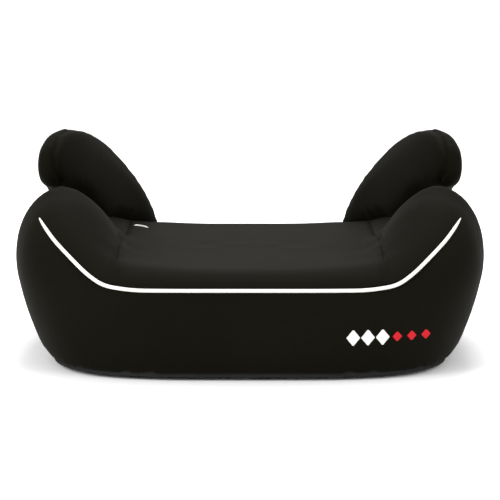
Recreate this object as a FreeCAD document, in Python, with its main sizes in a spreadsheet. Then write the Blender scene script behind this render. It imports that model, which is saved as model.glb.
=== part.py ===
import FreeCAD, Part
import math
import os

# Backless car booster seat: a moulded shell with foam and a fabric cover over it.
# Seen from the front, left is -X and right is +X. -Y is the front and +Z is up.
# The origin is at the middle of the footprint, on the surface that the feet stand on.

V = FreeCAD.Vector

# ---------------------------------------------------------------- driving sizes (millimetres)
SIZES = {
    "overall_width": 440.0,
    "overall_depth": 374.0,
    "seat_height": 98.0,
    "bolster_height": 161.0,
    "armrest_height": 211.0,
    "cover_bottom": 4.0,
    "cover_thickness": 4.0,
    "wadding_thickness": 8.0,
    "seat_foam_thickness": 26.0,
    "shell_wall": 3.0,
    "armrest_foam": 7.0,
    "rib_thickness": 2.6,
    "rib_spacing": 62.0,
    "plate_thickness": 3.0,
    "plate_clearance": 1.0,
    "screw_radius": 2.0,
    "screw_head_radius": 4.2,
    "screw_head_depth": 2.2,
    "boss_radius": 6.0,
    "foot_radius": 11.0,
    "piping_radius": 1.7,
    "slot_piping_radius": 1.5,
    "hem_radius": 2.6,
    "motif_relief": 0.7,
    "diamond_size": 6.2,
}


def make_sheet(doc):
    """The spreadsheet of driving sizes, one aliased cell each."""
    sheet = doc.addObject("Spreadsheet::Sheet", "Sizes")
    for row, (alias, size) in enumerate(SIZES.items(), start=1):
        sheet.set("A%d" % row, alias)
        sheet.set("B%d" % row, str(size))
        sheet.setAlias("B%d" % row, alias)
    doc.recompute()
    return sheet


doc = FreeCAD.newDocument("booster_seat")
sheet = make_sheet(doc)


def size(alias):
    """A driving size read back from the sheet."""
    return float(sheet.get(alias))


HALF_WIDTH = size("overall_width") / 2.0
HALF_DEPTH = size("overall_depth") / 2.0
SEAT_Z = size("seat_height")
BOLSTER_Z = size("bolster_height")
BOTTOM_Z = size("cover_bottom")
COVER = size("cover_thickness")
WADDING = size("wadding_thickness")
SHELL_INSET = COVER + WADDING
SHELL_WALL = size("shell_wall")
SEAT_INSET = COVER + size("seat_foam_thickness")

PLAN_POWER = 3.6          # squareness of the plan outline
CREST_INSET = 44.0        # from the widest point in to the bolster crest, at the sides
FRONT_ROLL = 34.0         # the same at the front and the rear edge
FLARE_SIDE = 28.0         # how far the side wall leans in at the bottom
FLARE_FRONT = 9.0
FLANK_START = 0.515       # the bolster's inner flank starts here, as a share of the half width
FLANK_END = 0.80          # and reaches the crest here
NOTCH_FLOOR = 0.30        # height of the belt slot's floor, as a share of the bolster's rise
PLAN_STEPS = 40
WIDEST_RING = 6
SHELL_STEPS = 24
MIDDLE_SHARE = 0.07       # the flat disc that closes the middle of the seat
FAR = 300.0               # beyond every part of the seat
LOFT_FLOOR_Z = -20.0      # the forms start below the ground and are trimmed at their floor


def slab(x_low, x_high, y_low, y_high, z_low, z_high):
    """A plain block between six planes."""
    return Part.makeBox(x_high - x_low, y_high - y_low, z_high - z_low, V(x_low, y_low, z_low))


# ---------------------------------------------------------------- the body's outer form
def smooth_step(value, low, high):
    """0 below low, 1 above high, eased between."""
    share = min(max((value - low) / (high - low), 0.0), 1.0)
    return share * share * (3.0 - 2.0 * share)


def signed_power(value, power):
    return math.copysign(abs(value) ** power, value)


def plan_direction(angle):
    """A point of the unit outline, squarer than a circle."""
    power = 2.0 / PLAN_POWER
    return signed_power(math.cos(angle), power), signed_power(math.sin(angle), power)


def bolster_share(y):
    """Height of the bolster along the seat: it rises from the front and dips at the belt slot."""
    crest_y = -0.27 * HALF_DEPTH
    front_y = -0.89 * HALF_DEPTH
    if y < front_y:
        return 0.0
    if y < crest_y:
        return math.sin(0.5 * math.pi * (y - front_y) / (crest_y - front_y)) ** 1.2
    dip = smooth_step(y, crest_y, 0.16 * HALF_DEPTH)
    rear = smooth_step(y, 0.55 * HALF_DEPTH, 0.96 * HALF_DEPTH)
    return 1.0 - (1.0 - NOTCH_FLOOR) * dip - NOTCH_FLOOR * rear


def top_height(x, y):
    """Height of the upholstered top over a point of the plan."""
    across = min(abs(x) / HALF_WIDTH, 1.0)
    seat = SEAT_Z + 2.0 * y / HALF_DEPTH
    seat += 4.0 * smooth_step(across, 0.20, 0.55)
    rise = max(0.0, min((across - FLANK_START) / (FLANK_END - FLANK_START), 1.0))
    rise = math.sin(0.5 * math.pi * rise)
    return seat + (BOLSTER_Z - seat) * rise * bolster_share(y)


def meridian(angle, side_inset, top_inset):
    """Points up the wall and in over the top at one angle, all inset by a layer's depth."""
    cos_share, sin_share = plan_direction(angle)
    side = abs(cos_share) ** PLAN_POWER
    roll = FRONT_ROLL + (CREST_INSET - FRONT_ROLL) * side
    flare = FLARE_FRONT + (FLARE_SIDE - FLARE_FRONT) * side
    widest_z = SEAT_Z * (0.62 + 0.40 * side)
    crest_x = (HALF_WIDTH - roll) * cos_share
    crest_y = (HALF_DEPTH - roll) * sin_share
    crest_z = top_height(crest_x, crest_y)
    wall = [(flare, LOFT_FLOOR_Z), (flare, BOTTOM_Z)]
    for share in (0.09, 0.25, 0.50, 0.78, 1.0):
        z = BOTTOM_Z + (widest_z - BOTTOM_Z) * share
        wall.append((flare * (1.0 - share) ** 1.6, z))
    for turn in (24.0, 46.0, 68.0):
        up = math.sin(math.radians(turn))
        over = 1.0 - math.cos(math.radians(turn))
        wall.append((roll * over, widest_z + (crest_z - widest_z) * up))
    points = []
    for index, (inset, z) in enumerate(wall):
        before = wall[max(index - 1, 0)]
        after = wall[min(index + 1, len(wall) - 1)]
        along_in = after[0] - before[0]
        along_up = after[1] - before[1]
        length = math.hypot(along_in, along_up)
        depth = side_inset
        if index > WIDEST_RING:
            depth += (top_inset - side_inset) * (index - WIDEST_RING) / 5.0
        inset_here = inset + depth * along_up / length
        z_here = z - depth * max(along_in, 0.0) / length
        points.append(V((HALF_WIDTH - inset_here) * cos_share, (HALF_DEPTH - inset_here) * sin_share, z_here))
    depth = side_inset + (top_inset - side_inset) * 0.8
    for share in (1.0, 0.88, 0.77, 0.68, 0.60, 0.48, 0.33, 0.18):
        x = crest_x * share
        y = crest_y * share
        points.append(V(x, y, top_height(x, y) - depth))
        depth = top_inset
    points.append(V(crest_x * MIDDLE_SHARE, crest_y * MIDDLE_SHARE, top_height(0.0, 0.0) - top_inset))
    return points


def closed_curve(points):
    """A smooth closed curve through the points, with evenly numbered knots."""
    curve = Part.BSplineCurve()
    numbers = [float(index) for index in range(len(points) + 1)]
    curve.interpolate(Points=points, PeriodicFlag=True, Parameters=numbers)
    return Part.Wire([curve.toShape()])


def body_form(side_inset, top_inset, floor_z):
    """The whole body above a floor as one solid, lofted through rings up to the seat's middle."""
    columns = []
    for step in range(PLAN_STEPS):
        angle = 2.0 * math.pi * (step + 0.5) / PLAN_STEPS
        columns.append(meridian(angle, side_inset, top_inset))
    rings = [closed_curve(list(ring)) for ring in zip(*columns)]
    whole = Part.makeLoft(rings, True, False, False)
    return whole.common(slab(-FAR, FAR, -FAR, FAR, floor_z, FAR))


def shell_form(depth, floor_z):
    """The moulding's form: a tub, upside down, whose walls lean with the body's sides."""
    pan_z = SEAT_Z - SEAT_INSET - depth
    rings = []
    for z in (floor_z, pan_z):
        points = []
        for step in range(SHELL_STEPS):
            cos_share, sin_share = plan_direction(2.0 * math.pi * (step + 0.5) / SHELL_STEPS)
            side = abs(cos_share) ** PLAN_POWER
            flare = FLARE_FRONT + (FLARE_SIDE - FLARE_FRONT) * side
            lean = flare * (1.0 - (z - BOTTOM_Z) / SEAT_Z) ** 1.6
            inset = SHELL_INSET + depth + lean
            points.append(V((HALF_WIDTH - inset) * cos_share, (HALF_DEPTH - inset) * sin_share, z))
        rings.append(closed_curve(points))
    return Part.makeLoft(rings, True, True, False)


# ---------------------------------------------------------------- the armrests' outer form
# Each armrest is a fin that rises from the seat's rear corner, sweeps outward and forward,
# and ends in a rounded nose over the belt slot. One row per upright slice, from the rear to the nose:
# share of the half depth, middle of the base, its half thickness, the underside's rise,
# middle of the ridge, its half thickness, and the ridge's rise. Both rises are shares of the
# height from the armrest's root, inside the seat, to its top.
FIN_SLICES = [
    (0.950, 0.492, 17.5, 0.000, 0.472, 14.5, 0.348),
    (0.865, 0.570, 24.0, 0.000, 0.528, 16.5, 0.559),
    (0.755, 0.648, 27.5, 0.000, 0.598, 18.5, 0.718),
    (0.620, 0.715, 29.0, 0.010, 0.668, 20.0, 0.849),
    (0.480, 0.765, 28.0, 0.180, 0.726, 20.5, 0.933),
    (0.350, 0.800, 25.0, 0.382, 0.772, 20.0, 0.981),
    (0.220, 0.828, 21.5, 0.535, 0.812, 18.5, 1.004),
    (0.100, 0.852, 18.0, 0.611, 0.845, 16.0, 0.992),
    (0.000, 0.870, 14.0, 0.650, 0.868, 13.0, 0.944),
    (-0.070, 0.882, 7.5, 0.732, 0.882, 7.0, 0.866),
]
FIN_ROOT_DEPTH = 14.0      # the armrest's root starts this far below the base shell's top
FIN_ROOT_Z = SEAT_Z - SEAT_INSET - FIN_ROOT_DEPTH
FIN_RISE = size("armrest_height") - FIN_ROOT_Z
FIN_POWER = 2.5
FIN_STEPS = 16
THINNEST_SLICE = 4.0       # a layer stops where the armrest is too thin to hold it


def fin_ring(slice_row, inset, mirror):
    """One upright slice of an armrest, a rounded slab that narrows to the ridge."""
    y_share, base_share, base_half, base_rise, ridge_share, ridge_half, ridge_rise = slice_row
    y = y_share * HALF_DEPTH
    low = FIN_ROOT_Z + FIN_RISE * base_rise + inset
    high = FIN_ROOT_Z + FIN_RISE * ridge_rise - inset
    points = []
    for step in range(FIN_STEPS):
        angle = 2.0 * math.pi * step / FIN_STEPS
        across = signed_power(math.cos(angle), 2.0 / FIN_POWER)
        up = signed_power(math.sin(angle), 2.0 / FIN_POWER)
        share = 0.5 * (up + 1.0)
        half = base_half + (ridge_half - base_half) * share - inset
        middle = (base_share + (ridge_share - base_share) * share) * HALF_WIDTH
        points.append(V(mirror * (middle + half * across), y, low + (high - low) * share))
    return closed_curve(points)


def fin_form(inset, mirror):
    """One armrest as a solid, inset by a layer's depth."""
    slices = [row for row in FIN_SLICES if min(row[2], row[5]) - inset > THINNEST_SLICE]
    rings = [fin_ring(row, inset, mirror) for row in slices]
    return Part.makeLoft(rings, True, False, False)


# ---------------------------------------------------------------- shared cutting tools
# The piping's height over the seat's width: level in front of the seat, then up over the bolsters.
# The heights are shares of the bolster's rise above the seat.
PIPING_LINE = [
    (0.480, -0.233),
    (0.600, -0.179),
    (0.670, -0.031),
    (0.745, 0.187),
    (0.815, 0.397),
    (0.860, 0.560),
    (0.890, 0.677),
]
BOLSTER_RISE = BOLSTER_Z - SEAT_Z
PIPING_POINTS = [(x * HALF_WIDTH, SEAT_Z + rise * BOLSTER_RISE) for x, rise in PIPING_LINE]
SLOT_Y = 0.02 * HALF_DEPTH         # the bolster panels end here, in the belt slot
SEAT_PANEL_X = 0.548 * HALF_WIDTH  # the seat panel's seams, at the foot of the bolsters' flanks
REAR_SEAM_Y = 0.80 * HALF_DEPTH    # the back panel starts here, round the rear corners
REAR_SEAM_DROP = 9.0               # the seat panel turns down this far over the rear edge
REAR_SEAM_Z = SEAT_Z - REAR_SEAM_DROP


def region_above_piping():
    """Everything that the top panels cover: above the piping in front, and the seat behind it."""
    rim_z = PIPING_POINTS[-1][1]
    outline = [V(FAR, -FAR, FAR), V(-FAR, -FAR, FAR), V(-FAR, -FAR, rim_z)]
    outline.extend([V(-x, -FAR, z) for x, z in reversed(PIPING_POINTS)])
    outline.extend([V(x, -FAR, z) for x, z in PIPING_POINTS])
    outline.append(V(FAR, -FAR, rim_z))
    outline.append(outline[0])
    front = Part.Face(Part.makePolygon(outline)).extrude(V(0, FAR + SLOT_Y, 0))
    seat = slab(-SEAT_PANEL_X, SEAT_PANEL_X, SLOT_Y, FAR, REAR_SEAM_Z, FAR)
    return front.fuse(seat)


def largest_solid(shape):
    """The main solid of a cut, without slivers."""
    return max(shape.Solids, key=lambda solid: solid.Volume)


def top_point(shape, x, y):
    """The highest point of a solid over a place in the plan."""
    ray = Part.makeLine(V(x, y, -FAR), V(x, y, FAR))
    return max(vertex.Z for vertex in shape.common(ray).Vertexes)


def front_point(shape, x, z):
    """The foremost point of a solid at a width and a height."""
    ray = Part.makeLine(V(x, -FAR, z), V(x, 0.0, z))
    return min(vertex.Y for vertex in shape.common(ray).Vertexes)


def cord(points, radius):
    """A round cord along straight runs joined by tangent arcs."""
    edges = []
    start = points[0]
    for index in range(1, len(points) - 1):
        corner = points[index]
        back = points[index - 1] - corner
        ahead = points[index + 1] - corner
        turn = math.pi - back.getAngle(ahead)
        reach = 0.45 * min(back.Length, ahead.Length)
        if turn < math.radians(0.5):
            continue
        bend = reach / math.tan(0.5 * turn)
        back.normalize()
        ahead.normalize()
        first = corner + back * reach
        last = corner + ahead * reach
        inward = (back + ahead).normalize()
        middle = corner + inward * (math.hypot(bend, reach) - bend)
        edges.append(Part.makeLine(start, first))
        edges.append(Part.Arc(first, middle, last).toShape())
        start = last
    edges.append(Part.makeLine(start, points[-1]))
    path = Part.Wire(edges)
    circle = Part.makeCircle(radius, points[0], points[1] - points[0])
    return path.makePipeShell([Part.Wire([circle])], True, False)


# ---------------------------------------------------------------- the document's sub-parts
PIECES = []


def add_piece(name, shape):
    """A freeform sub-part of the document."""
    piece = doc.addObject("Part::Feature", name)
    piece.Label = name
    piece.Shape = shape
    piece.Placement = FreeCAD.Placement()
    PIECES.append(piece)
    return piece


def add_hidden(name, shape):
    """A freeform shape that other objects are cut from."""
    piece = doc.addObject("Part::Feature", name)
    piece.Shape = shape
    return piece


def add_cylinder(name, radius, height, x, y, z):
    """A cylinder whose radius and height are expressions on the sheet."""
    cylinder = doc.addObject("Part::Cylinder", name)
    cylinder.setExpression("Radius", radius)
    cylinder.setExpression("Height", height)
    cylinder.Placement = FreeCAD.Placement(V(x, y, z), FreeCAD.Rotation())
    return cylinder


def add_union(name, members):
    union = doc.addObject("Part::MultiFuse", name)
    union.Shapes = members
    return union


def add_cut(name, base, tool):
    cut = doc.addObject("Part::Cut", name)
    cut.Base = base
    cut.Tool = tool
    return cut


def add_common(name, base, tool):
    common = doc.addObject("Part::Common", name)
    common.Base = base
    common.Tool = tool
    return common


def keep(piece, name):
    piece.Label = name
    PIECES.append(piece)
    return piece


# ---------------------------------------------------------------- layers of the body and armrests
SIDES = (("left", -1.0), ("right", 1.0))
FIN_FOAM_INSET = COVER
FIN_SHELL_INSET = COVER + size("armrest_foam")
HEM_DEPTH = 5.0            # the cover reaches this far below the padding and the shell
PADDING_BOTTOM_Z = BOTTOM_Z + HEM_DEPTH

outer = body_form(0.0, 0.0, BOTTOM_Z)
under_cover = body_form(COVER, COVER, BOTTOM_Z)
padding_outside = body_form(COVER, COVER, PADDING_BOTTOM_Z)
shell_outside = shell_form(0.0, PADDING_BOTTOM_Z)
shell_inside = shell_form(SHELL_WALL, PADDING_BOTTOM_Z)
fins = {side: fin_form(0.0, mirror) for side, mirror in SIDES}
fin_foams = {side: fin_form(FIN_FOAM_INSET, mirror) for side, mirror in SIDES}
fin_shells = {side: fin_form(FIN_SHELL_INSET, mirror) for side, mirror in SIDES}
both_fin_shells = [fin_shells["left"], fin_shells["right"]]
top_region = region_above_piping()
middle_strip = slab(-SEAT_PANEL_X, SEAT_PANEL_X, -FAR, FAR, 0.0, FAR)
half_spaces = {
    "left": slab(-FAR, -SEAT_PANEL_X, -FAR, FAR, 0.0, FAR),
    "right": slab(SEAT_PANEL_X, FAR, -FAR, FAR, 0.0, FAR),
}
rear_space = slab(-FAR, FAR, REAR_SEAM_Y, FAR, 0.0, FAR)


# ---------------------------------------------------------------- piping
def piping_path():
    """Route on the cover: across the front, up over both bolsters and down into the slots."""
    half = []
    for x, z in PIPING_POINTS:
        half.append(V(x, front_point(outer, x, z), z))
    for x_share, y_share in ((0.850, -0.045), (0.760, 0.010)):
        x = x_share * HALF_WIDTH
        y = y_share * HALF_DEPTH
        half.append(V(x, y, top_point(outer, x, y)))
    front = []
    for share in (0.30, 0.10):
        x = share * HALF_WIDTH
        z = PIPING_POINTS[0][1]
        front.append(V(x, front_point(outer, x, z), z))
    right = list(reversed(half)) + front
    left = [V(-point.x, point.y, point.z) for point in reversed(right)]
    return right + left


piping = cord(piping_path(), size("piping_radius"))


SLOT_PIPING_LIFT = 0.6     # the middle of this piping lies just above the cover's face


def slot_piping_path(mirror, shares):
    """Route over the slot's floor to the seat, beside the armrest's foot."""
    path = []
    for x_share, y_share in shares:
        x = mirror * x_share * HALF_WIDTH
        y = y_share * HALF_DEPTH
        path.append(V(x, y, top_point(outer, x, y) + SLOT_PIPING_LIFT))
    return path


LEFT_SLOT_ROUTE = [(0.640, 0.380), (0.590, 0.430), (0.545, 0.475), (0.505, 0.510), (0.462, 0.480)]
RIGHT_SLOT_ROUTE = [(0.760, 0.250), (0.700, 0.320), (0.650, 0.380)]
slot_piping = {
    "left": cord(slot_piping_path(-1.0, LEFT_SLOT_ROUTE), size("slot_piping_radius")),
    "right": cord(slot_piping_path(1.0, RIGHT_SLOT_ROUTE), size("slot_piping_radius")),
}

# ---------------------------------------------------------------- fabric cover panels
cover = outer.cut(under_cover).cut(both_fin_shells)
cover = cover.cut([piping, slot_piping["left"], slot_piping["right"]])
top_cover = cover.common(top_region)
skirt_cover = cover.cut(top_region)
add_piece("seat_cover", largest_solid(top_cover.common(middle_strip)))
for side, mirror in SIDES:
    add_piece("%s_bolster_cover" % side, largest_solid(top_cover.common(half_spaces[side])))
add_piece("skirt_cover", largest_solid(skirt_cover.cut(rear_space)))
add_piece("rear_cover", largest_solid(skirt_cover.common(rear_space)))
add_piece("front_piping", piping.cut(both_fin_shells))
for side, mirror in SIDES:
    add_piece("%s_slot_piping" % side, largest_solid(slot_piping[side].cut(fins[side])))

# ---------------------------------------------------------------- foam
padding = padding_outside.cut(shell_outside).cut(both_fin_shells)
padding = padding.cut([piping, slot_piping["left"], slot_piping["right"]])
core_x = HALF_WIDTH - FLARE_SIDE - SHELL_INSET
core_y = HALF_DEPTH - FLARE_FRONT - SHELL_INSET
over_shell = slab(-core_x, core_x, -core_y, core_y, SEAT_Z - SEAT_INSET, FAR)
foam_region = top_region.fuse(over_shell)
top_padding = padding.common(foam_region)
add_piece("seat_foam", largest_solid(top_padding.common(middle_strip)))
for side, mirror in SIDES:
    add_piece("%s_bolster_foam" % side, largest_solid(top_padding.common(half_spaces[side])))
add_piece("skirt_wadding", largest_solid(padding.cut(foam_region)))

# ---------------------------------------------------------------- armrests
# Above the cover each armrest has two cover panels and foam over a hollow moulded shell.
# The shell reaches down through the cover and the foam to stand on the base shell.
FIN_SCREW_SPOTS = [(0.700, 0.640), (0.648, 0.790)]
SCREW_PAD = 9.0            # thickness of the pad under the base shell's top that a screw pulls on
ARMREST_GRIP = 12.0        # length of screw that holds in the armrest
GRIP_ROOM = 2.0            # the hole goes on past the screw's end
BOSS_END = 4.0             # and the boss past the hole


def fin_divider(side, mirror):
    """The space outboard of the seam that runs along the armrest's ridge and round its nose."""
    rows = [(row[0], row[1], row[4]) for row in FIN_SLICES]
    rows = [(1.3, rows[0][1], rows[0][2])] + rows + [(-0.5, rows[-1][1], rows[-1][2])]
    ridge = [V(mirror * row[2] * HALF_WIDTH, row[0] * HALF_DEPTH, 0.0) for row in rows]
    ridge.append(V(mirror * FAR, ridge[-1].y, 0.0))
    ridge.append(V(mirror * FAR, ridge[0].y, 0.0))
    ridge.append(ridge[0])
    return Part.Face(Part.makePolygon(ridge)).extrude(V(0, 0, FAR))


fin_screw_places = {}
for side, mirror in SIDES:
    cover_layer = fins[side].cut([fin_foams[side], outer, piping])
    outboard = fin_divider(side, mirror)
    add_piece("%s_armrest_inner_cover" % side, largest_solid(cover_layer.cut(outboard)))
    add_piece("%s_armrest_outer_cover" % side, largest_solid(cover_layer.common(outboard)))
    foam_layer = fin_foams[side].cut([fin_shells[side], outer])
    add_piece("%s_armrest_foam" % side, largest_solid(foam_layer))
    hollow = fin_form(FIN_SHELL_INSET + SHELL_WALL, mirror)
    bosses = []
    holes = []
    places = []
    for x_share, y_share in FIN_SCREW_SPOTS:
        x = mirror * x_share * HALF_WIDTH
        y = y_share * HALF_DEPTH
        z = top_point(shell_outside, x, y)
        places.append(V(x, y, z))
        hole_reach = ARMREST_GRIP + GRIP_ROOM
        bosses.append(Part.makeCylinder(size("boss_radius"), hole_reach + BOSS_END, V(x, y, z)))
        holes.append(Part.makeCylinder(size("screw_radius"), hole_reach, V(x, y, z)))
    fin_screw_places[side] = places
    moulding = fin_shells[side].cut(hollow).fuse(bosses)
    moulding = moulding.common(fin_shells[side]).cut([shell_outside] + holes)
    add_piece("%s_armrest_shell" % side, largest_solid(moulding))
all_screw_places = fin_screw_places["left"] + fin_screw_places["right"]

# ---------------------------------------------------------------- base shell
PLATE_Z = PADDING_BOTTOM_Z
PLATE_TOP_Z = PLATE_Z + size("plate_thickness")
PLATE_SCREWS = [(-0.62, -0.62), (0.0, -0.70), (0.62, -0.62), (-0.62, 0.62), (0.0, 0.70), (0.62, 0.62)]
PLATE_GRIP = 18.0          # length of screw that holds in a post
HEAD_CLEARANCE = 1.5       # round the head of a screw that goes up into an armrest
RIB_MARGIN = 30.0          # no rib nearer than this to the body's side


def rib_grid():
    """Crossing upright ribs under the shell, evenly spaced."""
    pitch = size("rib_spacing")
    half = size("rib_thickness") / 2.0
    ribs = []
    for count in range(-3, 4):
        place = count * pitch
        if abs(place) < HALF_WIDTH - RIB_MARGIN:
            ribs.append(slab(place - half, place + half, -FAR, FAR, PLATE_TOP_Z, FAR))
        if abs(place) < HALF_DEPTH - RIB_MARGIN:
            ribs.append(slab(-FAR, FAR, place - half, place + half, PLATE_TOP_Z, FAR))
    return ribs


def base_shell():
    """The moulding: a thin wall with ribs, posts for the plate's screws and pads for the armrests'."""
    fillers = rib_grid()
    for x_share, y_share in PLATE_SCREWS:
        place = V(x_share * HALF_WIDTH, y_share * HALF_DEPTH, PLATE_TOP_Z)
        fillers.append(Part.makeCylinder(size("boss_radius"), FAR, place))
    for place in all_screw_places:
        fillers.append(Part.makeCylinder(size("boss_radius"), FAR, V(place.x, place.y, place.z - SCREW_PAD)))
    rooms = shell_inside.cut(fillers)
    holes = []
    for x_share, y_share in PLATE_SCREWS:
        place = V(x_share * HALF_WIDTH, y_share * HALF_DEPTH, PLATE_TOP_Z)
        holes.append(Part.makeCylinder(size("screw_radius"), PLATE_GRIP + GRIP_ROOM, place))
    for place in all_screw_places:
        floor = V(place.x, place.y, PLATE_TOP_Z)
        head_z = place.z - SCREW_PAD
        head_room = size("screw_head_radius") + HEAD_CLEARANCE
        holes.append(Part.makeCylinder(size("screw_radius"), FAR, floor))
        holes.append(Part.makeCylinder(head_room, head_z - PLATE_TOP_Z, floor))
    return shell_outside.cut(rooms).cut(holes)


add_piece("base_shell", largest_solid(base_shell()))

# ---------------------------------------------------------------- base plate
plate_room = shell_form(SHELL_WALL + size("plate_clearance"), BOTTOM_Z)
plate_form = add_hidden("plate_form", plate_room)
plate_block = doc.addObject("Part::Box", "plate_block")
plate_block.setExpression("Length", "Sizes.overall_width")
plate_block.setExpression("Width", "Sizes.overall_depth")
plate_block.setExpression("Height", "Sizes.plate_thickness")
plate_block.Placement = FreeCAD.Placement(V(-HALF_WIDTH, -HALF_DEPTH, PLATE_Z), FreeCAD.Rotation())
plate_blank = add_common("plate_blank", plate_block, plate_form)
VENT_LENGTH = 44.0
VENT_WIDTH = 12.0
CUT_ROOM = 1.0             # a cutter stands out by this much above and below the plate
through_plate = "Sizes.plate_thickness + %g" % (2.0 * CUT_ROOM)
plate_cuts = []
for index, (x_share, y_share) in enumerate(PLATE_SCREWS):
    hole = add_cylinder("plate_hole_%d" % index, "Sizes.screw_radius", through_plate,
                        x_share * HALF_WIDTH, y_share * HALF_DEPTH, PLATE_Z - CUT_ROOM)
    plate_cuts.append(hole)
for column in (-0.36, 0.0, 0.36):
    for row in (-0.36, 0.0, 0.36):
        vent = doc.addObject("Part::Box", "vent_%d" % len(plate_cuts))
        vent.Length = VENT_LENGTH
        vent.Width = VENT_WIDTH
        vent.setExpression("Height", through_plate)
        x = column * HALF_WIDTH - VENT_LENGTH / 2.0
        y = row * HALF_DEPTH - VENT_WIDTH / 2.0
        vent.Placement = FreeCAD.Placement(V(x, y, PLATE_Z - CUT_ROOM), FreeCAD.Rotation())
        plate_cuts.append(vent)
keep(add_cut("base_plate_cut", plate_blank, add_union("plate_openings", plate_cuts)), "base_plate")

# ---------------------------------------------------------------- screws
plate_screws = []
for index, (x_share, y_share) in enumerate(PLATE_SCREWS):
    x = x_share * HALF_WIDTH
    y = y_share * HALF_DEPTH
    shank = add_cylinder("plate_shank_%d" % index, "Sizes.screw_radius",
                         "Sizes.plate_thickness + %g" % PLATE_GRIP, x, y, PLATE_Z)
    head = add_cylinder("plate_head_%d" % index, "Sizes.screw_head_radius", "Sizes.screw_head_depth",
                        x, y, PLATE_Z - size("screw_head_depth"))
    plate_screws.extend([shank, head])
keep(add_union("plate_screw_set", plate_screws), "base_plate_screws")

armrest_screws = []
for index, place in enumerate(all_screw_places):
    shank = add_cylinder("armrest_shank_%d" % index, "Sizes.screw_radius",
                         "%g" % (SCREW_PAD + ARMREST_GRIP), place.x, place.y, place.z - SCREW_PAD)
    head = add_cylinder("armrest_head_%d" % index, "Sizes.screw_head_radius", "Sizes.screw_head_depth",
                        place.x, place.y, place.z - SCREW_PAD - size("screw_head_depth"))
    armrest_screws.extend([shank, head])
keep(add_union("armrest_screw_set", armrest_screws), "armrest_screws")

# ---------------------------------------------------------------- rubber feet
FOOT_SPOTS = [(-0.55, -0.45), (0.55, -0.45), (-0.55, 0.45), (0.55, 0.45)]
feet = []
for index, (x_share, y_share) in enumerate(FOOT_SPOTS):
    foot = add_cylinder("foot_%d" % index, "Sizes.foot_radius", "%g" % PLATE_Z,
                        x_share * HALF_WIDTH, y_share * HALF_DEPTH, 0.0)
    feet.append(foot)
keep(add_union("foot_set", feet), "rubber_feet")


# ---------------------------------------------------------------- hem and hooks under the base
HEM_CLEARANCE = 0.3


def hem_ring():
    """The elastic cord in the cover's lower edge, all the way round."""
    inset_side = FLARE_SIDE + COVER + size("hem_radius") + HEM_CLEARANCE
    inset_front = FLARE_FRONT + COVER + size("hem_radius") + HEM_CLEARANCE
    inner = size("hem_radius")
    rings = []
    for inset in (inner, -inner):
        points = []
        for step in range(PLAN_STEPS):
            cos_share, sin_share = plan_direction(2.0 * math.pi * (step + 0.5) / PLAN_STEPS)
            side = abs(cos_share) ** PLAN_POWER
            depth = inset_front + (inset_side - inset_front) * side + inset
            points.append(V((HALF_WIDTH - depth) * cos_share, (HALF_DEPTH - depth) * sin_share, 0.0))
        rings.append(closed_curve(points))
    low_z = PADDING_BOTTOM_Z - HEM_CLEARANCE - 2.0 * inner
    ring = Part.Face(rings[1]).cut(Part.Face(rings[0]))
    ring.translate(V(0, 0, low_z))
    return ring.extrude(V(0, 0, 2.0 * inner))


hem = hem_ring()
add_piece("hem_elastic", largest_solid(hem))
HOOK_LENGTH = 30.0
HOOK_WIDTH = 16.0
HOOK_THICKNESS = 1.8
HOOK_OUTREACH = 2.0        # a hook starts this far outside the shell's lower edge, at the hem


def cover_hooks():
    """Flat hooks from the hem in under the plate, on all four sides."""
    hooks = []
    low = PLATE_Z - HOOK_THICKNESS
    half = HOOK_WIDTH / 2.0
    front_y = HALF_DEPTH - FLARE_FRONT - SHELL_INSET + HOOK_OUTREACH
    side_x = HALF_WIDTH - FLARE_SIDE - SHELL_INSET + HOOK_OUTREACH
    for sign in (-1.0, 1.0):
        first_y, last_y = sorted((sign * front_y, sign * (front_y - HOOK_LENGTH)))
        for x_share in (-0.35, 0.35):
            x = x_share * HALF_WIDTH
            hooks.append(slab(x - half, x + half, first_y, last_y, low, PLATE_Z))
        first_x, last_x = sorted((sign * side_x, sign * (side_x - HOOK_LENGTH)))
        hooks.append(slab(first_x, last_x, -half, half, low, PLATE_Z))
    return Part.makeCompound([hook.cut(hem) for hook in hooks])


add_piece("cover_hooks", cover_hooks())


# ---------------------------------------------------------------- embroidered motif
MOTIF_X = 0.42 * HALF_WIDTH
MOTIF_Z = 0.42 * SEAT_Z
MOTIF_PITCH = 2.15         # from one diamond to the next, in half widths of a large diamond


def diamonds(first, last):
    """Raised stitched diamonds in a row on the right of the front band."""
    reach = size("diamond_size")
    raised = body_form(-size("motif_relief"), -size("motif_relief"), BOTTOM_Z).cut(outer)
    shapes = []
    for index in range(first, last):
        x = MOTIF_X + index * MOTIF_PITCH * reach
        z = MOTIF_Z
        tall = reach * (1.25 if index < 3 else 0.8)
        wide = reach * (1.0 if index < 3 else 0.7)
        corners = [V(x - wide, -FAR, z), V(x, -FAR, z + tall), V(x + wide, -FAR, z), V(x, -FAR, z - tall)]
        column = Part.Face(Part.makePolygon(corners + corners[:1])).extrude(V(0, FAR, 0))
        shapes.append(largest_solid(raised.common(column)))
    return Part.makeCompound(shapes)


add_piece("motif_white", diamonds(0, 3))
add_piece("motif_red", diamonds(3, 6))

# ---------------------------------------------------------------- checks and files
doc.recompute()
for thing in doc.Objects:
    if "Invalid" in thing.State or "Error" in thing.State:
        raise RuntimeError("%s failed: %s" % (thing.Label, thing.State))
for piece in PIECES:
    if piece.Shape.isNull() or not piece.Shape.isValid():
        raise RuntimeError("%s has no valid shape" % piece.Label)
    if piece.Shape.Volume <= 0.0:
        raise RuntimeError("%s has no volume" % piece.Label)
os.makedirs("parts", exist_ok=True)
for piece in PIECES:
    piece.Shape.exportStep("parts/%s.step" % piece.Label)
    print("%-28s %10.0f mm3" % (piece.Label, piece.Shape.Volume))
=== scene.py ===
import math

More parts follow.
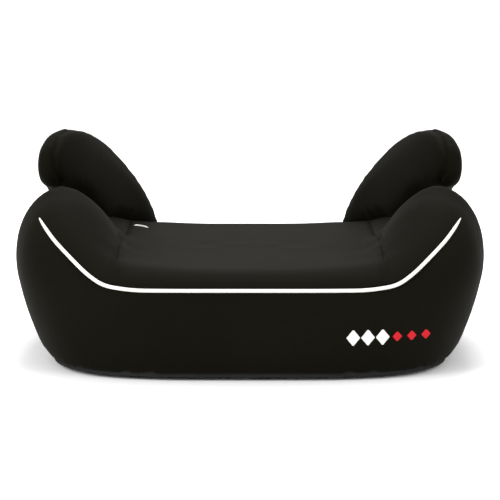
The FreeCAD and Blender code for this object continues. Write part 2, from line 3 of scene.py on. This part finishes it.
import bpy
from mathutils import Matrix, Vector
from mathutils.bvhtree import BVHTree
from mathutils.kdtree import KDTree


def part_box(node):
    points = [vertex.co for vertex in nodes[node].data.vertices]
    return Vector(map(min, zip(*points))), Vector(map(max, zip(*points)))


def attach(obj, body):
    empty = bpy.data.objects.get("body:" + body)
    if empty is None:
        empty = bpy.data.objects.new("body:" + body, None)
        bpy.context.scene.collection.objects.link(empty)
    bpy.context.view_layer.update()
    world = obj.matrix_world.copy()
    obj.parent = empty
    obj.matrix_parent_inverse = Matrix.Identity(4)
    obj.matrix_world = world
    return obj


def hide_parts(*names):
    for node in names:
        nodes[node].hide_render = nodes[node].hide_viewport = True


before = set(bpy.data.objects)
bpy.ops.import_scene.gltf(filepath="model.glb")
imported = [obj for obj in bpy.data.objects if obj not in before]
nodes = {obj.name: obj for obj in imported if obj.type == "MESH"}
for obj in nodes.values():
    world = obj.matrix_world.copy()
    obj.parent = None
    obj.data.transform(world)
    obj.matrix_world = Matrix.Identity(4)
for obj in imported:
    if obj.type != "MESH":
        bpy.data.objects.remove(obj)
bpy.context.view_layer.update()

# ---------------------------------------------------------------- studio
# A plain pale floor, large soft lights overhead and at both sides, and a long lens
# that looks slightly down at the front of the seat.
CAMERA_DISTANCE = 2.2
CAMERA_TILT = math.radians(8.0)
LOOK_HEIGHT = 0.100

bpy.ops.object.select_all(action="DESELECT")
bpy.ops.mesh.primitive_plane_add(size=60.0, location=(0.0, 0.0, 0.0))
floor = bpy.context.object
floor.name = "studio_floor"
floor_paint = bpy.data.materials.new("floor_paint")
floor_paint.use_nodes = True
floor_shader = floor_paint.node_tree.nodes["Principled BSDF"]
floor_shader.inputs["Base Color"].default_value = (0.93, 0.93, 0.93, 1.0)
floor_shader.inputs["Roughness"].default_value = 0.85
floor.data.materials.append(floor_paint)


def soft_light(name, place, aim, width, power):
    """A square area light turned towards a point."""
    lamp = bpy.data.lights.new(name, "AREA")
    lamp.shape = "SQUARE"
    lamp.size = width
    lamp.energy = power
    holder = bpy.data.objects.new(name, lamp)
    holder.location = place
    holder.rotation_euler = (Vector(aim) - Vector(place)).to_track_quat("-Z", "Y").to_euler()
    bpy.context.collection.objects.link(holder)


soft_light("overhead_light", (0.1, 0.8, 2.1), (0.0, 0.0, 0.1), 1.2, 40.0)
soft_light("left_light", (-1.9, -1.5, 1.2), (0.0, 0.0, 0.12), 1.2, 46.0)
soft_light("right_light", (1.9, -1.6, 1.1), (0.0, 0.0, 0.12), 1.2, 24.0)

world = bpy.data.worlds.new("studio_air")
world.use_nodes = True
world.node_tree.nodes["Background"].inputs["Color"].default_value = (1.0, 1.0, 1.0, 1.0)
world.node_tree.nodes["Background"].inputs["Strength"].default_value = 1.08
bpy.context.scene.world = world

lens = bpy.data.cameras.new("studio_camera")
lens.lens = 163.15
lens.shift_y = -0.0108
lens.clip_end = 100.0
camera = bpy.data.objects.new("studio_camera", lens)
camera_y = -CAMERA_DISTANCE * math.cos(CAMERA_TILT)
camera_z = LOOK_HEIGHT + CAMERA_DISTANCE * math.sin(CAMERA_TILT)
camera.location = (0.0, camera_y, camera_z)
camera.rotation_euler = (math.radians(90.0) - CAMERA_TILT, 0.0, 0.0)
bpy.context.collection.objects.link(camera)
bpy.context.scene.camera = camera
bpy.context.scene.view_settings.view_transform = "Standard"

# ---------------------------------------------------------------- upholstered body
# The sewn cover over the moulded shell: a seat panel and two bolster panels on top, a skirt round
# the front and sides and a back panel, in knitted polyester over foam, pulled tight at every seam.
VOXEL = 0.0045
STUFFING_PRESSURE = 3.0
SWELL_REACH = 0.002        # the foam pushes the cover out by no more than this
STUFFING_FRAMES = 20


def padded_copy(name, node_names):
    """One closed skin round a cover panel and the foam behind it, evenly meshed."""
    bpy.ops.object.select_all(action="DESELECT")
    for node_name in node_names:
        copy = bpy.data.objects.new(name, nodes[node_name].data.copy())
        bpy.context.collection.objects.link(copy)
        copy.select_set(True)
        bpy.context.view_layer.objects.active = copy
    if len(node_names) > 1:
        bpy.ops.object.join()
    piece = bpy.context.object
    piece.name = name
    piece.data.materials.clear()
    bpy.ops.object.mode_set(mode="EDIT")
    bpy.ops.mesh.select_all(action="SELECT")
    bpy.ops.mesh.remove_doubles(threshold=0.00002)
    bpy.ops.object.mode_set(mode="OBJECT")
    remesh = piece.modifiers.new("Even mesh", "REMESH")
    remesh.mode = "VOXEL"
    remesh.voxel_size = VOXEL
    bpy.ops.object.modifier_apply(modifier=remesh.name)
    return piece


def relax(piece, turns, group=""):
    """Smooths the skin, or a group of its points, so that no step of the even mesh is left."""
    smooth = piece.modifiers.new("Relax", "SMOOTH")
    smooth.factor = 0.5
    smooth.iterations = turns
    smooth.vertex_group = group
    bpy.context.view_layer.objects.active = piece
    bpy.ops.object.modifier_apply(modifier=smooth.name)


def swell(piece, pressure, reach):
    """Lets the foam push the cover out under pressure, by no more than reach."""
    start = [vertex.co.copy() for vertex in piece.data.vertices]
    cloth = piece.modifiers.new("Stuffing", "CLOTH")
    cloth.settings.quality = 5
    cloth.settings.mass = 0.3
    cloth.settings.tension_stiffness = 12.0
    cloth.settings.compression_stiffness = 12.0
    cloth.settings.bending_stiffness = 0.6
    cloth.settings.use_pressure = True
    cloth.settings.uniform_pressure_force = pressure
    cloth.settings.effector_weights.gravity = 0.0
    cloth.collision_settings.use_collision = False
    cloth.point_cache.frame_end = STUFFING_FRAMES
    for moment in range(1, STUFFING_FRAMES + 1):
        bpy.context.scene.frame_set(moment)
    bpy.context.view_layer.objects.active = piece
    bpy.ops.object.modifier_apply(modifier=cloth.name)
    bpy.context.scene.frame_set(1)
    for vertex, before in zip(piece.data.vertices, start):
        push = vertex.co - before
        if push.length > reach:
            vertex.co = before + push * (reach / push.length)


def finish_cloth(piece, material):
    """One subdivision, smooth shading, the fabric, and attachment to the root body for a padded piece."""
    rounder = piece.modifiers.new("Round", "SUBSURF")
    rounder.levels = 1
    rounder.render_levels = 1
    bpy.context.view_layer.objects.active = piece
    bpy.ops.object.modifier_apply(modifier=rounder.name)
    bpy.ops.object.select_all(action="DESELECT")
    piece.select_set(True)
    bpy.ops.object.shade_smooth()
    piece.data.materials.clear()
    piece.data.materials.append(material)
    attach(piece, "root")


def new_group(name, inputs, outputs):
    """An empty shader node group with named number inputs, and its two end nodes."""
    group = bpy.data.node_groups.new(name, "ShaderNodeTree")
    for label, value in inputs:
        socket = group.interface.new_socket(label, in_out="INPUT", socket_type="NodeSocketFloat")
        socket.default_value = value
    for label, kind in outputs:
        group.interface.new_socket(label, in_out="OUTPUT", socket_type=kind)
    return group, group.nodes.new("NodeGroupInput"), group.nodes.new("NodeGroupOutput")


def knit_group():
    """Fine knitted loops in rows, the same on every face whichever way it looks; the second output is lighter
    on the loop tops and darker in the gaps between them, as painted shade.
    """
    group, inside, outside = new_group(
        "fine_knit",
        [("Loops per metre", 1150.0), ("Row depth", 1.0)],
        [("Height", "NodeSocketFloat"), ("Painted loop shade", "NodeSocketFloat")],
    )
    add = group.nodes.new
    link = group.links.new
    place = add("ShaderNodeTexCoord")
    wobble = add("ShaderNodeTexNoise")
    wobble.inputs["Scale"].default_value = 60.0
    wobble.inputs["Detail"].default_value = 2.0
    link(place.outputs["Object"], wobble.inputs["Vector"])
    bend = add("ShaderNodeVectorMath")
    bend.operation = "MULTIPLY_ADD"
    bend.inputs[1].default_value = (0.0006, 0.0006, 0.0006)
    link(wobble.outputs["Color"], bend.inputs[0])
    link(place.outputs["Object"], bend.inputs[2])
    scaled = add("ShaderNodeVectorMath")
    scaled.operation = "SCALE"
    link(bend.outputs[0], scaled.inputs[0])
    link(inside.outputs["Loops per metre"], scaled.inputs["Scale"])
    loops = add("ShaderNodeTexVoronoi")
    loops.inputs["Scale"].default_value = 1.0
    loops.inputs["Randomness"].default_value = 0.6
    link(scaled.outputs[0], loops.inputs["Vector"])
    flip = add("ShaderNodeMath")
    flip.operation = "SUBTRACT"
    flip.inputs[0].default_value = 1.0
    link(loops.outputs["Distance"], flip.inputs[1])
    deep = add("ShaderNodeMath")
    deep.operation = "MULTIPLY"
    link(flip.outputs[0], deep.inputs[0])
    link(inside.outputs["Row depth"], deep.inputs[1])
    link(deep.outputs[0], outside.inputs["Height"])
    link(flip.outputs[0], outside.inputs["Painted loop shade"])
    return group


fine_knit = knit_group()


def cloth_material(name, dark, light, knit_depth, roughness, sheen=0.01):
    """Knitted cloth: two close tones that follow random patches of wear and painted shade in the gaps between
    the loops, and a soft fuzz.
    """
    material = bpy.data.materials.new(name)
    material.use_nodes = True
    add = material.node_tree.nodes.new
    link = material.node_tree.links.new
    shader = material.node_tree.nodes["Principled BSDF"]
    shader.inputs["Specular IOR Level"].default_value = 0.02
    shader.inputs["Sheen Weight"].default_value = sheen
    shader.inputs["Sheen Roughness"].default_value = 0.45
    shader.inputs["Sheen Tint"].default_value = (0.95, 0.93, 0.85, 1.0)
    place = add("ShaderNodeTexCoord")
    knit = add("ShaderNodeGroup")
    knit.node_tree = fine_knit
    knit.inputs["Row depth"].default_value = knit_depth
    patches = add("ShaderNodeTexNoise")
    patches.inputs["Scale"].default_value = 9.0
    patches.inputs["Detail"].default_value = 4.0
    link(place.outputs["Object"], patches.inputs["Vector"])
    # Painted shade: the tone darkens in the gaps between the knit loops, multiplied by random patches of
    # wear.
    share = add("ShaderNodeMath")
    share.operation = "MULTIPLY"
    link(patches.outputs["Fac"], share.inputs[0])
    link(knit.outputs["Painted loop shade"], share.inputs[1])
    tone = add("ShaderNodeMix")
    tone.data_type = "RGBA"
    tone.inputs["A"].default_value = (*dark, 1.0)
    tone.inputs["B"].default_value = (*light, 1.0)
    link(share.outputs[0], tone.inputs["Factor"])
    link(tone.outputs["Result"], shader.inputs["Base Color"])
    rough = add("ShaderNodeMapRange")
    rough.inputs["To Min"].default_value = roughness - 0.06
    rough.inputs["To Max"].default_value = roughness + 0.06
    link(patches.outputs["Fac"], rough.inputs["Value"])
    link(rough.outputs[0], shader.inputs["Roughness"])
    bump = add("ShaderNodeBump")
    bump.inputs["Strength"].default_value = 0.3
    bump.inputs["Distance"].default_value = 0.00025
    link(knit.outputs["Height"], bump.inputs["Height"])
    link(bump.outputs["Normal"], shader.inputs["Normal"])
    return material


black_knit = cloth_material("black_knit", (0.0032, 0.0028, 0.0016), (0.0070, 0.0062, 0.0036), 1.0, 0.7)

FLAT_FRONT_EDGE = 0.03     # the seat panel is flat inside these distances from its front and rear,
FLAT_REAR_EDGE = 0.02
FLAT_FADE = 0.02           # and turns flat over this distance
BODY_PARTS = ["seat_cover", "seat_foam", "skirt_cover", "rear_cover", "skirt_wadding"]
for side in ("left", "right"):
    BODY_PARTS += [side + "_bolster_cover", side + "_bolster_foam"]
body = padded_copy("upholstered_body", BODY_PARTS)
relax(body, 6)
seat_low, seat_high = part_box("seat_cover")
flat_seat = body.vertex_groups.new(name="flat_seat")
for vertex in body.data.vertices:
    from_side = seat_high.x - abs(vertex.co.x)
    from_front = vertex.co.y - seat_low.y - FLAT_FRONT_EDGE
    from_rear = seat_high.y - FLAT_REAR_EDGE - vertex.co.y
    room = min(from_side, from_front, from_rear)
    if room > 0.0 and vertex.normal.z > 0.5:
        flat_seat.add([vertex.index], min(room / FLAT_FADE, 1.0), "REPLACE")
relax(body, 60, "flat_seat")
swell(body, STUFFING_PRESSURE, SWELL_REACH)
relax(body, 5)
finish_cloth(body, black_knit)

# ---------------------------------------------------------------- seams of the body
# Plain sewn seams: one on each side of the seat panel, from the front piping back past the armrest,
# one down each rear corner and one across the back. The cloth is drawn in, and the thread in the crease is
# coloured darker than the cloth as painted shade.
SEAM_WIDTH = 0.0060
SEAM_DEPTH = 0.0030
THREAD_RADIUS = 0.0005


def skin_of(piece):
    """A piece's surface, ready for rays."""
    return BVHTree.FromObject(piece, bpy.context.evaluated_depsgraph_get())


def laid_on(skin, starts, direction):
    """The points where parallel rays from the starts first meet a skin."""
    met = [skin.ray_cast(Vector(start), Vector(direction))[0] for start in starts]
    return [point for point in met if point is not None]


def sew_in(piece, run, width, depth):
    """Draws the skin in along a seam's run, deepest in the line itself."""
    knots = []
    for first, last in zip(run, run[1:]):
        for step in range(12):
            knots.append(first.lerp(last, step / 12.0))
    near = KDTree(len(knots))
    for index, knot in enumerate(knots):
        near.insert(knot, index)
    near.balance()
    for vertex in piece.data.vertices:
        away = near.find(vertex.co)[2] / width
        if away < 1.0:
            vertex.co = vertex.co - vertex.normal * (depth * (1.0 - away) ** 2)


def thread_lines(name, runs, radius, material):
    """Fine threads laid along runs of points, as closed tubes in one piece."""
    curve = bpy.data.curves.new(name, "CURVE")
    curve.dimensions = "3D"
    for run in runs:
        spline = curve.splines.new("NURBS")
        spline.points.add(len(run) - 1)
        for knot, point in zip(spline.points, run):
            knot.co = (*point, 1.0)
        spline.order_u = 3
        spline.use_endpoint_u = True
        spline.resolution_u = 3
    curve.bevel_depth = radius
    curve.bevel_resolution = 1
    curve.use_fill_caps = True
    threads = bpy.data.objects.new(name, curve)
    bpy.context.collection.objects.link(threads)
    bpy.ops.object.select_all(action="DESELECT")
    threads.select_set(True)
    bpy.context.view_layer.objects.active = threads
    bpy.ops.object.convert(target="MESH")
    bpy.ops.object.shade_smooth()
    threads.data.materials.append(material)
    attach(threads, "root")
    return threads


def seam(name, piece, starts, direction):
    """One sewn seam: the drawn-in line and the thread that lies in it, darker than the cloth as painted
    crease shade.
    """
    sew_in(piece, laid_on(skin_of(piece), starts, direction), SEAM_WIDTH, SEAM_DEPTH)
    sunk = laid_on(skin_of(piece), starts, direction)
    threads = thread_lines(name, [sunk], THREAD_RADIUS, painted_shade_seam_thread)


# The seam thread is darker than the cloth: painted shade for the crease it lies in.
painted_shade_seam_thread = cloth_material("painted_shade_seam_thread", (0.0020, 0.0019, 0.0014), (0.0040, 0.0037, 0.0028), 1.0, 0.7, 0.0)
SEAM_FRONT_Y = seat_low.y + 0.008
SEAM_REAR_Y = 0.118
CORNER_SEAM_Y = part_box("rear_cover")[0].y
REAR_SEAM_Z = 0.089
OUTSIDE = 0.5              # rays towards the seat start this far out
for side, sign in (("left", -1.0), ("right", 1.0)):
    starts = []
    for step in range(25):
        y = SEAM_FRONT_Y + (SEAM_REAR_Y - SEAM_FRONT_Y) * step / 24.0
        starts.append((sign * (seat_high.x + 0.001), y, OUTSIDE))
    seam(side + "_seat_seam", body, starts, (0.0, 0.0, -1.0))
    starts = [(sign * OUTSIDE, CORNER_SEAM_Y, 0.014 + 0.004 * step) for step in range(20)]
    seam(side + "_corner_seam", body, starts, (-sign, 0.0, 0.0))
starts = [(0.006 * step - 0.090, OUTSIDE, REAR_SEAM_Z) for step in range(31)]
seam("rear_seam", body, starts, (0.0, -1.0, 0.0))
body_skin = skin_of(body)
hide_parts(*BODY_PARTS)

# ---------------------------------------------------------------- armrests
# Each armrest is a curved fin: a hollow moulding with foam, in a cover of an inner and an outer
# panel that meet in a seam along the ridge and down round the nose.
RIDGE = [(0.104, 0.176), (0.117, 0.160), (0.134, 0.135), (0.151, 0.105), (0.165, 0.075), (0.176, 0.045)]
RIDGE += [(0.184, 0.018)]
NOSE = [(0.187, 0.196), (0.189, 0.188), (0.188, 0.179), (0.186, 0.170), (0.183, 0.161)]


def ridge_run(skin, sign):
    """The armrest's seam on a skin: along the ridge from above, then down the nose from the front."""
    over = laid_on(skin, [(sign * x, y, OUTSIDE) for x, y in RIDGE], (0.0, 0.0, -1.0))
    down = laid_on(skin, [(sign * x, -OUTSIDE, z) for x, z in NOSE], (0.0, 1.0, 0.0))
    return over + down


for side, sign in (("left", -1.0), ("right", 1.0)):
    parts = [side + "_armrest_" + part for part in ("inner_cover", "outer_cover", "foam", "shell")]
    armrest = padded_copy(side + "_armrest", parts)
    relax(armrest, 14)
    swell(armrest, STUFFING_PRESSURE, SWELL_REACH)
    relax(armrest, 3)
    finish_cloth(armrest, black_knit)
    sew_in(armrest, ridge_run(skin_of(armrest), sign), SEAM_WIDTH, SEAM_DEPTH)
    sunk = ridge_run(skin_of(armrest), sign)
    # The ridge seam's thread is darker than the cloth: painted shade in the crease.
    armrest_seam = thread_lines(side + "_armrest_seam", [sunk], THREAD_RADIUS, painted_shade_seam_thread)
    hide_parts(*parts)

# ---------------------------------------------------------------- piping
# Off-white woven piping sewn into the seam between the skirt and the top panels, and a thinner
# one round the inner end of each belt slot.
def paint_nodes(names, material):
    """Gives CAD nodes that stay as they are their one material."""
    for name in names:
        nodes[name].data.materials.clear()
        nodes[name].data.materials.append(material)


white_piping = cloth_material("white_piping", (0.56, 0.54, 0.50), (0.82, 0.80, 0.76), 0.6, 0.5)
paint_nodes(("front_piping", "right_slot_piping"), white_piping)
SLOT_PIPING_RADIUS = 0.0013
SLOT_ARC = [(-0.1215, 0.086), (-0.1165, 0.092), (-0.1105, 0.095), (-0.1045, 0.093), (-0.0995, 0.086)]
slot_arc = laid_on(body_skin, [(x, y, OUTSIDE) for x, y in SLOT_ARC], (0.0, 0.0, -1.0))
for tucked in (slot_arc[0], slot_arc[-1]):
    tucked.z -= 0.003
slot_end = thread_lines("left_slot_piping_end", [slot_arc], SLOT_PIPING_RADIUS, white_piping)
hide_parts("left_slot_piping")

# ---------------------------------------------------------------- moulded parts
# The base shell and its plate are grained polypropylene, the hooks a smoother grade.
def plastic_material(name, colour, roughness, grain):
    """Moulded plastic with a fine spark-eroded grain."""
    material = bpy.data.materials.new(name)
    material.use_nodes = True
    add = material.node_tree.nodes.new
    link = material.node_tree.links.new
    shader = material.node_tree.nodes["Principled BSDF"]
    place = add("ShaderNodeTexCoord")
    pits = add("ShaderNodeTexNoise")
    pits.inputs["Scale"].default_value = 900.0
    pits.inputs["Detail"].default_value = 3.0
    link(place.outputs["Object"], pits.inputs["Vector"])
    tone = add("ShaderNodeMix")
    tone.data_type = "RGBA"
    tone.inputs["A"].default_value = (*[channel * 0.8 for channel in colour], 1.0)
    tone.inputs["B"].default_value = (*[channel * 1.2 for channel in colour], 1.0)
    link(pits.outputs["Fac"], tone.inputs["Factor"])
    link(tone.outputs["Result"], shader.inputs["Base Color"])
    rough = add("ShaderNodeMapRange")
    rough.inputs["To Min"].default_value = roughness - 0.08
    rough.inputs["To Max"].default_value = roughness + 0.08
    link(pits.outputs["Fac"], rough.inputs["Value"])
    link(rough.outputs[0], shader.inputs["Roughness"])
    bump = add("ShaderNodeBump")
    bump.inputs["Strength"].default_value = grain
    bump.inputs["Distance"].default_value = 0.0003
    link(pits.outputs["Fac"], bump.inputs["Height"])
    link(bump.outputs["Normal"], shader.inputs["Normal"])
    return material


shell_plastic = plastic_material("shell_plastic", (0.035, 0.035, 0.038), 0.5, 0.5)
hook_plastic = plastic_material("hook_plastic", (0.06, 0.06, 0.065), 0.38, 0.2)
foot_rubber = plastic_material("foot_rubber", (0.02, 0.02, 0.02), 0.75, 0.3)
hem_elastic = cloth_material("hem_elastic", (0.012, 0.012, 0.012), (0.03, 0.03, 0.03), 1.4, 0.7)
paint_nodes(("base_shell", "base_plate"), shell_plastic)
paint_nodes(("cover_hooks",), hook_plastic)
paint_nodes(("rubber_feet",), foot_rubber)
paint_nodes(("hem_elastic",), hem_elastic)

# ---------------------------------------------------------------- screws
# Zinc-plated steel screws through the plate and up into the armrests.
zinc = bpy.data.materials.new("zinc_plate")
zinc.use_nodes = True
zinc_shader = zinc.node_tree.nodes["Principled BSDF"]
zinc_shader.inputs["Metallic"].default_value = 1.0
zinc_place = zinc.node_tree.nodes.new("ShaderNodeTexCoord")
zinc_cloud = zinc.node_tree.nodes.new("ShaderNodeTexNoise")
zinc_cloud.inputs["Scale"].default_value = 300.0
zinc.node_tree.links.new(zinc_place.outputs["Object"], zinc_cloud.inputs["Vector"])
zinc_tone = zinc.node_tree.nodes.new("ShaderNodeMix")
zinc_tone.data_type = "RGBA"
zinc_tone.inputs["A"].default_value = (0.50, 0.50, 0.52, 1.0)
zinc_tone.inputs["B"].default_value = (0.68, 0.68, 0.70, 1.0)
zinc.node_tree.links.new(zinc_cloud.outputs["Fac"], zinc_tone.inputs["Factor"])
zinc.node_tree.links.new(zinc_tone.outputs["Result"], zinc_shader.inputs["Base Color"])
zinc_rough = zinc.node_tree.nodes.new("ShaderNodeMapRange")
zinc_rough.inputs["To Min"].default_value = 0.28
zinc_rough.inputs["To Max"].default_value = 0.42
zinc.node_tree.links.new(zinc_cloud.outputs["Fac"], zinc_rough.inputs["Value"])
zinc.node_tree.links.new(zinc_rough.outputs[0], zinc_shader.inputs["Roughness"])
paint_nodes(("base_plate_screws", "armrest_screws"), zinc)

# ---------------------------------------------------------------- embroidered motif
# A plain row of diamonds in satin stitch on the right of the front band: three white, then three
# smaller red ones. Each is a close row of level threads that rise a little in their middle.
ROW_PITCH = 0.00046
FLOSS_RADIUS = 0.00028
FLOSS_BOW = ((-1.0, 0.0), (-0.5, 0.00035), (0.0, 0.00045), (0.5, 0.00035), (1.0, 0.0))
SHORTEST_STITCH = 0.0012
white_thread = cloth_material("white_thread", (0.62, 0.61, 0.58), (0.86, 0.85, 0.82), 0.4, 0.4)
red_thread = cloth_material("red_thread", (0.42, 0.012, 0.020), (0.66, 0.035, 0.042), 0.4, 0.4)


def satin_diamonds(name, node_name, material, width_share):
    """Three diamonds of satin stitch over the place of a CAD node's three."""
    low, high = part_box(node_name)
    tall = 0.5 * (high.z - low.z)
    wide = tall * width_share
    middle_z = 0.5 * (high.z + low.z)
    pitch = 0.5 * (high.x - low.x) - wide
    rows = int(2.0 * tall / ROW_PITCH)
    runs = []
    for count in range(3):
        middle_x = low.x + wide + count * pitch
        for row in range(rows + 1):
            rise = (row / rows * 2.0 - 1.0) * tall
            reach = wide * (1.0 - abs(rise) / tall)
            if 2.0 * reach < SHORTEST_STITCH:
                continue
            starts = [(middle_x + reach * share, -OUTSIDE, middle_z + rise) for share, lift in FLOSS_BOW]
            laid = laid_on(body_skin, starts, (0.0, 1.0, 0.0))
            for knot, (share, lift) in zip(laid, FLOSS_BOW):
                knot.y -= lift
            runs.append(laid)
    stitches = thread_lines(name, runs, FLOSS_RADIUS, material)
    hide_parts(node_name)


satin_diamonds("white_diamonds", "motif_white", white_thread, 1.0 / 1.25)
satin_diamonds("red_diamonds", "motif_red", red_thread, 0.7 / 0.8)
